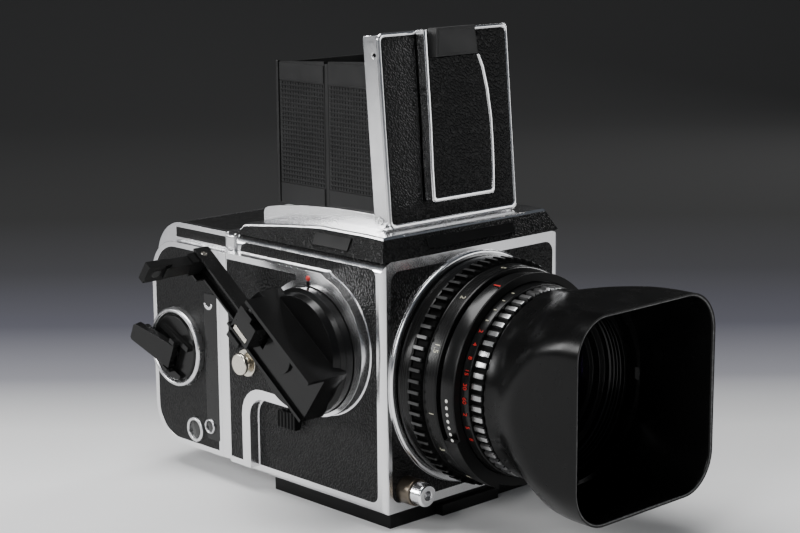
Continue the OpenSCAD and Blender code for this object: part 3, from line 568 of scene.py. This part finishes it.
side_ring("knob_ring", 107.3, 41,
          [(3.2, 46.8), (14.8, 46.8), (14.8, 49.2), (14.4, 49.8), (13.5, 49.9), (12.9, 49.3), (12.9, 47.3),
           (3.2, 47.3)],
          chrome_soft, "body", ["magazine_bezels"], bevel=0.2, n=160)
for tag, y, z, r in (("counter", 98.4, 10.9, 4.7), ("film", 89.4, 13.9, 2.85)):
    w = r * 0.27
    bezel = [(r - w, 46.6), (r, 46.6), (r, 47.9), (r - 0.3, 48.2), (r - w + 0.2, 48.2), (r - w, 47.9)]
    side_ring(tag + "_bezel", y, z, bezel, chrome_soft, "body", slot="magazine_bezels")
    pane = [(0.02, 46.7), (r - w, 46.7), (r - w, 47.35), (r - w - 0.3, 47.5), (0.02, 47.62)]
    side_ring(tag + "_window", y, z, pane, window, "body", slot="magazine_bezels", bevel=0)
side_ring("index_dot", 33.1, 77.9, [(0.02, 47.0), (0.95, 47.0), (0.95, 47.4), (0.7, 47.75), (0.02, 47.95)],
          red, "body", slot="winding_cover", bevel=0)
# The notch is a flat black disc, not a hollow: painted shade.
side_ring("index_notch_painted_shade", 33.1, 76.1, [(0.02, 47.0), (0.8, 47.0), (0.8, 47.36), (0.02, 47.4)], black_matt,
          "body", slot="winding_cover", bevel=0)
strip_outline = rounded(84.1, 9.0, 91.4, 64, 0.6)
add("magazine_strip", sheet(strip_outline, lambda u, v, t: at(-t, u, v), 46.6, 47.42, 0.12), black_strip,
    "body", slot="magazine_leather", smooth=30)
crescent = arc(0, 0, 2.5, range(190, 351, 10)) + arc(0, 0.5, 1.9, range(345, 194, -10))
add("strip_crescent", sheet(crescent, lambda u, v, t: at(-t, 88.9 + u, 60.4 + v), 47.3, 47.6, 0.08), chrome,
    "body", slot="magazine_bezels", smooth=30)
clone("magazine_knob", 0.3, black_crank)
clone("knob_key", 0.4, black_arm)
repaint("magazine_insert", black_matt)
repaint("takeup_spool", black_satin)
repaint("supply_spool", black_satin)
clone("dark_slide", 0.3, steel)
clone("magazine_catch", 0.3, chrome)

# ---------------------------------------------------------------- mirror
repaint("mirror_carrier", black_matt)
repaint("mirror_glass", mirror)
repaint("upper_flap", black_matt)
repaint("lower_flap", black_matt)

# ---------------------------------------------------------------- crank
clone("crank_shaft", 0.3, black_crank)
clone("crank_hub", 0.35, black_crank)
clone("crank_arm", 0.35, black_arm)
repaint("arm_pin", steel)
clone("arm_fittings", 0.15, nickel)
clone("crank_grip", 0.5, black_satin)
clone("grip_rivet", 0.3, black_tab)

# ---------------------------------------------------------------- lens
lens_ring("mount_ring",
          [(32.4, -3.5), (35.9, -3.5), (35.9, 0), (41, 0), (41, 0.7), (40.6, 1.2), (40, 1.3), (37, 1.3),
           (36.2, 0.4), (34.6, 0.4), (34.6, -1), (32.4, -1)],
          chrome, "body", ["lens_mount_ring"], 0.2)
lens_ring("fixed_barrel",
          [(17, -3.3), (32.2, -3.3), (32.2, -1), (34.4, -1), (34.4, 1.5), (34, 1.6), (34, 18.8), (35.4, 18.9),
           (36, 19.3), (35.6, 22.4), (34.5, 24.8), (34.2, 25.2), (30.6, 25.2), (30.6, -0.7), (17, -0.7)],
          turned, "body", ["lens_barrel"], 0.2)


def flutes(th, r, s):
    """Narrow ribs across the gripping band of the focusing ring."""
    if r > 39.3 and 7.2 < s < 12.6:
        p = (th * RIBS / (2 * math.pi)) % 1.0
        d = min(p, 1 - p) * 2
        return r - 1.5 * max(0.0, min(1.0, (0.66 - d) / 0.1))
    return r


# The floors between the focusing ribs take a darker material (painted shade), and the rib tops a paler one
# (painted highlight).
lens_ring("focus_grip",
          [(34.1, 1.8), (38.4, 1.8), (38.9, 2.2), (38.9, 6.4), (38.6, 6.8), (38.6, 7.1), (39.4, 7.3),
           (39.7, 7.6), (39.7, 12.1), (39.4, 12.4), (38.4, 12.8), (37.8, 13.0), (37.6, 13.4), (37.6, 17.9),
           (37.1, 18.5), (34.1, 18.5)],
          [turned_dark, turned_painted_shade, turned_painted_highlight], "focus", ["focus_ring"], 0, RIBS * 14, flutes,
          tones=lambda r, s: (2 if r > 39.2 else 1) if 7.0 < s < 12.9 else 0)
lens_ring("front_tube",
          [(27, 4), (30.5, 4), (30.5, 25.5), (33.2, 25.5), (33.5, 25.9), (33.0, 29.0), (32.6, 29.2),
           (31.2, 29.2), (31.2, 34.8), (30.9, 35), (30.9, 43), (29.4, 43), (29.2, 41.6), (28.9, 41.4),
           (28.9, 40.4), (28.6, 40.2), (28.6, 39.2), (28.2, 39), (28.2, 38), (27.6, 37.6), (27.2, 36), (25, 35.6),
           (24, 33.4), (22.4, 33.2), (22.4, 30), (27, 30)],
          turned, "lens_front", ["front_barrel"], 0.12)


def teeth(th, r, s):
    """The square teeth of the two setting rings."""
    if r > 31.7:
        p = (th * TEETH / (2 * math.pi)) % 1.0
        d = min(p, 1 - p) * 2
        return r - 0.95 * max(0.0, min(1.0, (0.54 - d) / 0.12))
    return r


# Faces below the tops of the teeth take the darker material: painted shade in the grooves.
lens_ring("aperture_band",
          [(31.25, 29.4), (31.8, 29.4), (32.5, 29.9), (32.6, 30.1), (32.6, 31.6), (31.25, 31.6)],
          [tooth_metal, turned_painted_shade], "aperture", ["aperture_ring"], 0, TEETH * 14, teeth,
          tones=lambda r, s: 0 if r > 32.1 else 1)
lens_ring("speed_band",
          [(31.25, 31.66), (32.6, 31.66), (32.6, 33.9), (32.4, 34.3), (31.9, 34.5), (31.25, 34.5)],
          [tooth_metal, turned_painted_shade], "speed", ["speed_ring"], 0, TEETH * 14, teeth,
          tones=lambda r, s: 0 if r > 32.1 else 1)
clone("depth_lever", 0.2, black_satin)
clone("aperture_blades", 0, black_matt)
clone("front_element", 0, front_glass, smooth=60)


def smooth_min(a, b, k):
    """The smaller of two numbers, with a soft change over a width of k."""
    h = max(0.0, min(1.0, 0.5 + 0.5 * (b - a) / k))
    return b * (1 - h) + a * h - k * h * (1 - h)


def shade_radius(th, half, corner, cone, k=3.0):
    """The radius of a rounded square of this half width, cut down by a cone's radius."""
    c, s = abs(math.sin(th)), abs(math.cos(th))
    a = half - corner
    hi = max(c, s)
    lo = min(c, s)
    if half * lo / hi <= a:
        r = half / hi
    else:
        b = a * (c + s)
        r = b + math.sqrt(max(b * b - (2 * a * a - corner * corner), 0))
    return smooth_min(r, cone, k)


def cone_at(s):
    """The radius, at distance s, of the cone that the square shade grows from."""
    pts = [(SHADE_BACK, 32.7), (41, 32.9), (45.5, 34.4), (51.5, 37.6), (59, 41), (69, 44), (80, 47.5)]
    for (s0, r0), (s1, r1) in zip(pts, pts[1:]):
        if s <= s1:
            return r0 + (r1 - r0) * (s - s0) / (s1 - s0)
    return pts[-1][1]


def flare(s):
    """The cone's radius with its corners eased."""
    return sum(cone_at(s + d) for d in (-3, -2, -1, 0, 1, 2, 3)) / 7


def shade_mesh(n=240):
    """The shade's outer face from back to front, its lip, and its inner face back to the lens."""
    rows = []
    for i in range(33):
        s = SHADE_BACK + (SHADE_FRONT - SHADE_BACK) * (i / 32)
        rows.append((s, 0.0))
    lip = SHADE_FRONT - 0.8
    rows += [(SHADE_FRONT, 0.55), (SHADE_FRONT - 0.3, 1.05), (lip, SHADE_WALL)]
    for i in range(1, 24):
        rows.append((lip - (lip - 47.0) * i / 23, SHADE_WALL))
    verts, faces = [], []
    for s, inset in rows:
        for i in range(n):
            th = 2 * math.pi * i / n
            r = shade_radius(th, SHADE_HALF - inset, SHADE_CORNER - inset, flare(s) - inset)
            verts.append(on_lens(r, s, th))
    for s, r in ((46.6, 31.6), (45.6, 31.2), (45.2, 30.95), (SHADE_BACK, 30.95)):
        for i in range(n):
            verts.append(on_lens(r, s, 2 * math.pi * i / n))
    k = len(verts) // n
    for a in range(k):
        b = (a + 1) % k
        for i in range(n):
            j = (i + 1) % n
            faces.append((a * n + i, a * n + j, b * n + j, b * n + i))
    return mesh_from(verts, faces)


add("square_shade", shade_mesh(), black_shade, "lens_front", ["lens_shade"], smooth=50)


def bead(radius_at, s, thick, n=240, m=8):
    """A round bead that runs along an outline in front of the lens."""
    verts, faces = [], []
    for i in range(n):
        th = 2 * math.pi * i / n
        r = radius_at(th)
        for j in range(m):
            a = 2 * math.pi * j / m
            verts.append(on_lens(r + thick * math.cos(a), s + thick * math.sin(a), th))
    for i in range(n):
        for j in range(m):
            here, there, up_one = i * m, ((i + 1) % n) * m, (j + 1) % m
            faces.append((here + j, here + up_one, there + up_one, there + j))
    return mesh_from(verts, faces)


NO_CONE = 99
worn_edge = bead(lambda th: shade_radius(th, SHADE_HALF - 0.62, SHADE_CORNER - 0.62, NO_CONE),
                 SHADE_FRONT - 0.45, 0.46)
add("shade_worn_edge", worn_edge, worn, "lens_front", slot="lens_shade", smooth=60)
lens_ring("shade_collar_line", [(32.3, 41.2), (33.0, 41.2), (33.0, 41.7), (32.3, 41.7)], turned_dark,
          "lens_front", (), 0.1, slot="lens_shade")

distances = (("1", 100), ("1.5", 66), ("2", 36), ("5", 4), ("10", -28), ("3", 122), ("0.9", 150))
ring_marks("distance_numbers", [(t, deg, 16, 37.6, 2.2) for t, deg in distances], ivory, "focus",
           "focus_ring")
ring_marks("index_marks", [((0.5, 3.0), 20, 22.4, 36.0, 0)], red, "body", "lens_barrel")
settings = ("2", "4", "8", "15", "30", "60", "2", "5", "8")
ring_marks("setting_numbers", [(t, 50 + 8.2 * i, 27.7, 33.35, 1.7) for i, t in enumerate(settings)], red,
           "lens_front", "front_barrel")
ring_marks("flange_marks", [((0.35, 1.2), 18 + 8.2 * i, 27.7, 33.35, 0) for i in range(4)], ivory,
           "lens_front", "front_barrel")


def dots(name, spots, mat, body, slot, rad=0.5, n=18):
    """Small domed dots on a lens ring, each (angle, s, radius of the ring)."""
    parts = []
    for deg, s, r in spots:
        th0 = math.radians(deg)
        v, f = [], []
        for lift, k in ((0.0, 1.0), (0.12, 0.8), (0.17, 0.4)):
            for i in range(n):
                a = 2 * math.pi * i / n
                v.append(on_lens(r + lift, s + rad * k * math.cos(a), th0 + rad * k * math.sin(a) / r))
        v.append(on_lens(r + 0.19, s, th0))
        for a in range(2):
            for i in range(n):
                f.append((a * n + i, a * n + (i + 1) % n, (a + 1) * n + (i + 1) % n, (a + 1) * n + i))
        f += [(2 * n + i, 2 * n + (i + 1) % n, 3 * n) for i in range(n)]
        parts.append((v, f))
    return add(name, blocks(parts), mat, body, slot=slot, smooth=60)


dots("depth_dots", [(90.6 + 3.55 * i, 24.4, 38.3) for i in range(7)], white, "depth", "depth_lever", 0.62)

# ---------------------------------------------------------------- hood
clone("lid_leather", 0.25, leather_lid)


def on_lid(x, y, z):
    """Across, out from the lid's outer face, and up the leaning lid."""
    c, s = math.cos(LEAN), math.sin(LEAN)
    return at(x, LID_Y + y * c + z * s, LID_Z - y * s + z * c)


def lid_sheet(name, outline, t0, t1, bevel, holes=(), mat=chrome, replaces=(), slot=None, body="lid"):
    """A flat piece lying on the lid; t runs from the lid's outer face inwards."""
    mesh = sheet(outline, lambda u, v, t: on_lid(u, t, v), t0, t1, bevel, holes, 4)
    return add(name, mesh, mat, body, replaces, slot, 40)


def flange_place(side):
    """Places an outline on the outer face of the lid's left (-1) or right (1) flange."""
    return lambda u, v, t: on_lid(side * (31.2 - t), u, v)


def lug(v):
    """True for the corners of the two lugs that carry the magnifier, inside the lid."""
    y, z = v.y + SOCKET - LID_Y, v.z - FOOT - LID_Z
    out = y * math.cos(LEAN) - z * math.sin(LEAN)
    high = y * math.sin(LEAN) + z * math.cos(LEAN)
    return 6.9 < abs(v.x) < 11.1 and out > 1.35 and 56.2 < high < 60.6


def circle(u, v, r, n=24):
    return [(u + r * math.cos(2 * math.pi * i / n), v + r * math.sin(2 * math.pi * i / n)) for i in range(n)]


lid_sheet("lid_rim", rounded(-31.2, 0, 31.2, 66, 2.5), 0.0, 1.6, 0.78, [rounded(-29.5, 2.0, 29.5, 64.3, 1.5)],
          replaces=["lid_frame"])
lid_sheet("lid_plate", rounded(-30.4, 0.8, 30.4, 65.2, 1.8), 0.62, 1.5, 0.05, mat=black_satin,
          slot="lid_frame")
SIDES = ((-1, "left"), (1, "right"))
flange = arc(4.66, 3.19, 2.9, range(-150, 31, 15))
flange += [(LID_D, 6.2), (LID_D, 64.6), (LID_D - 0.8, 65.4), (0.8, 65.4), (0.8, 3.0)]
pin_holes = [circle(4.66, 3.19, 1.08), circle(2.67, 58.6, 0.85)]
for side, tag in SIDES:
    add("lid_flange_" + tag, sheet(flange, flange_place(side), 0.0, 0.9, 0.3, pin_holes), chrome, "lid",
        slot="lid_frame", smooth=40)
clone("lid_frame", 0, chrome_soft, name="magnifier_lugs", keep=lug)
rim_out = [(-14, 66), (-14, 34), (-14.4, 20), (-14.4, 8.6), (-13.4, 7.6), (15.0, 7.6), (16, 8.6), (16.4, 14),
           (16.8, 24), (16.7, 34), (15.7, 44), (14, 52), (12.1, 56.2)]
rim_in = [(10.7, 56.2), (12.6, 51.4), (14.2, 43.6), (15.2, 34), (15.3, 24), (14.9, 14.4), (14.6, 10),
          (13.8, 9.2), (-12.4, 9.2), (-12.9, 9.8), (-12.9, 20), (-12.5, 34), (-12.5, 66)]
lid_sheet("tongue_rim", rim_out + rim_in, -4.3, 0.0, 0.55, replaces=["tongue_plate"])
floor = [(-12.7, 56.0), (-13.1, 20), (-13.1, 9), (15, 9), (15.4, 24), (15.3, 34), (14.3, 44), (11, 56.0)]
lid_sheet("tongue_floor", floor, -3.6, -0.2, 0.05, slot="tongue_plate")
tab = [(-9.4, 56.5), (10.8, 56.5), (9.9, 66.3), (-8.5, 66.3)]
inner = [(-8.5, 57.4), (9.9, 57.4), (9.1, 65.5), (-7.7, 65.5)]
add("tab_plate", sheet(tab, lambda u, v, t: on_lid(u, -t, v), 0.3, 4.75, 0.3), black_tab, "lid_catch",
    ["lid_slide"], smooth=30)
add("tab_face", sheet(inner, lambda u, v, t: on_lid(u, -t, v), 4.6, 4.95, 0.12), black_tab, "lid_catch",
    slot="lid_slide", smooth=30)
clone("magnifier_arm", 0.2, black_satin)
repaint("magnifier_lens", glass)


def grid_leaf(which, side, y0, y1, gap=None):
    """A leaf of a side wall: a thin plate whose outer face is pressed into rows of small pads.

    side is -1 on the left and 1 on the right. gap is the range in y of the strip behind the middle hinge.
    """
    outer, inner = side * WALL_X, side * (WALL_X - 1)
    face = outer - side * 0.34

    def top(y):
        return WALL_TOP + (WALL_REAR_TOP - WALL_TOP) * (y - WALL_Y) / (2 * LEAF)

    def pad(ya, yb, za, zb, b=0.16):
        vs = [at(face, y, z) for y, z in ((ya, za), (yb, za), (yb, zb), (ya, zb))]
        t = b * 2 if zb - za < 3 else b
        raised = ((ya + b, za + b), (yb - b, za + b), (yb - b, zb - t), (ya + b, zb - t))
        vs += [at(outer, y, z) for y, z in raised]
        return vs, [(0, 1, 5, 4), (1, 2, 6, 5), (2, 3, 7, 6), (3, 0, 4, 7), (4, 5, 6, 7)]

    plate = [at(x, y, z) for x in (inner, face)
             for y, z in ((y0, WALL_Z), (y1, WALL_Z), (y1, top(y1)), (y0, top(y0)))]
    parts = [(plate, [(0, 1, 2, 3), (7, 6, 5, 4), (0, 4, 5, 1), (1, 5, 6, 2), (2, 6, 7, 3), (3, 7, 4, 0)])]
    low, high, rows, columns = 105.2, 141.6, 23, 16
    pitch = (high - low) / rows
    w = (y1 - y0 - 1.0) / columns
    for i in range(rows):
        for j in range(columns):
            y = y0 + 0.5 + j * w
            z = low + i * pitch
            parts.append(pad(y + 0.1, y + w - 0.1, z + 0.24, z + pitch - 0.24))
    parts.append(pad(y0 + 0.1, y1 - 0.1, WALL_Z + 0.2, low - 0.1))
    parts.append(pad(y0 + 0.1, y1 - 0.1, high + 0.15, min(top(y0), top(y1)) - 0.1))
    if gap:
        parts.append(block(side * 27.7, gap[0], WALL_Z + 0.2, side * 28.0, gap[1], 148.6))
    return add(f"leaf_{which}_grid", blocks(parts), black_wall, "leaf_" + which, ["wall_" + which], smooth=20)


middle, back_y = WALL_Y + LEAF, WALL_Y + 2 * LEAF
for side, tag in SIDES:
    grid_leaf("front_" + tag, side, WALL_Y + 0.4, middle - 1.1)
    grid_leaf("rear_" + tag, side, middle + 1.1, back_y - 0.5, (middle - 0.7, middle + 1.2))
back_panels = [block(-27.2, back_y + 0.3, WALL_Z, 27.2, back_y + 1.3, 147.6),
               block(-28.6, back_y - 0.1, WALL_Z + 0.2, -27.3, back_y + 1.3, 148.4),
               block(27.3, back_y - 0.1, WALL_Z + 0.2, 28.6, back_y + 1.3, 148.4)]
add("back_wall", apply_bevel(blocks(back_panels), 0.00025, 2), black_wall, "leaf_back", ["wall_rear"],
    smooth=30)

# ---------------------------------------------------------------- studio
floor_painted_falloff = Mat("studio_sweep", (0.8, 0.8, 0.8), 0.8, 0.0, Specular_IOR_Level=0.0)
away, across = Vector((math.sin(az), math.cos(az), 0)), Vector((math.cos(az), -math.sin(az), 0))
along = floor_painted_falloff.node("ShaderNodeVectorMath")
along.operation = "DOT_PRODUCT"
along.inputs[1].default_value = away
floor_painted_falloff.link(floor_painted_falloff.coord, along.inputs[0])
reach = floor_painted_falloff.remap(along.outputs["Value"], 0.0, 1.0, 0.0, 1.0)
# The floor's colour runs from pale near the camera to near black further away, with a faint blue tint: painted
# light falloff.
ramp = floor_painted_falloff.node("ShaderNodeValToRGB")
for e, (pos, col) in zip((ramp.color_ramp.elements[0], ramp.color_ramp.elements[1]),
                         ((0.0, (0.80, 0.80, 0.80, 1)), (1.0, (0.055, 0.055, 0.055, 1)))):
    e.position, e.color = pos, col
steps = ((0.07, 0.62, 1.0), (0.15, 0.21, 1.1), (0.25, 0.08, 1.2), (0.38, 0.048, 1.08), (0.55, 0.038, 1.0))
for pos, v, blue in steps:
    ramp.color_ramp.elements.new(pos).color = (v, v, v * blue, 1)
floor_painted_falloff.link(reach, ramp.inputs["Fac"])
floor_painted_falloff.link(ramp.outputs["Color"], floor_painted_falloff.shader.inputs["Base Color"])
floor_painted_falloff.bump(floor_painted_falloff.noise(400, 2), 0.00002)
floor_end, bend = 1.0, 0.7
prof = [(-3, 0), (floor_end, 0)]
prof += [(floor_end + bend * math.sin(math.radians(a)), bend - bend * math.cos(math.radians(a)))
         for a in range(6, 91, 6)]
prof += [(floor_end + bend, 3.2)]
verts, faces = [], []
for d, h in prof:
    for w in (-4, 4):
        verts.append(away * d + across * w + Vector((0, 0, h)))
for i in range(len(prof) - 1):
    faces.append((2 * i, 2 * i + 1, 2 * i + 3, 2 * i + 2))
mesh = mesh_from(verts, faces)
sweep = bpy.data.objects.new("studio_sweep", mesh)
bpy.context.scene.collection.objects.link(sweep)
mesh.materials.append(floor_painted_falloff.material)
smooth_faces(mesh, 60)

world = bpy.data.worlds.new("studio")
bpy.context.scene.world = world
world.use_nodes = True
world.node_tree.nodes["Background"].inputs[0].default_value = (0.7, 0.78, 0.9, 1)
world.node_tree.nodes["Background"].inputs[1].default_value = 0.1


def lamp(name, loc, target, size, power):
    """A rectangular soft light of this size and power, turned to the target."""
    d = bpy.data.lights.new(name, "AREA")
    d.shape, d.size, d.size_y, d.energy = "RECTANGLE", size[0], size[1], power
    ob = bpy.data.objects.new(name, d)
    ob.location = loc
    ob.rotation_mode = "QUATERNION"
    ob.rotation_quaternion = (Vector(target) - Vector(loc)).to_track_quat("-Z", "Y")
    bpy.context.scene.collection.objects.link(ob)


lamp("top_soft", (-0.15, 0.1, 0.95), (0, 0, 0.08), (0.55, 0.55), 11)
lamp("left_back_soft", (-0.95, 0.85, 0.5), (0, 0, 0.08), (0.3, 0.3), 8)
lamp("left_key", (-1.15, -0.35, 0.65), (0, 0, 0.07), (0.45, 0.6), 7)
lamp("right_rim", (0.9, 0.2, 0.5), (0, 0, 0.1), (0.25, 0.5), 3)
lamp("right_card", (1.0, -1.08, 0.22), (0, 0, 0.12), (0.6, 0.5), 2.2)
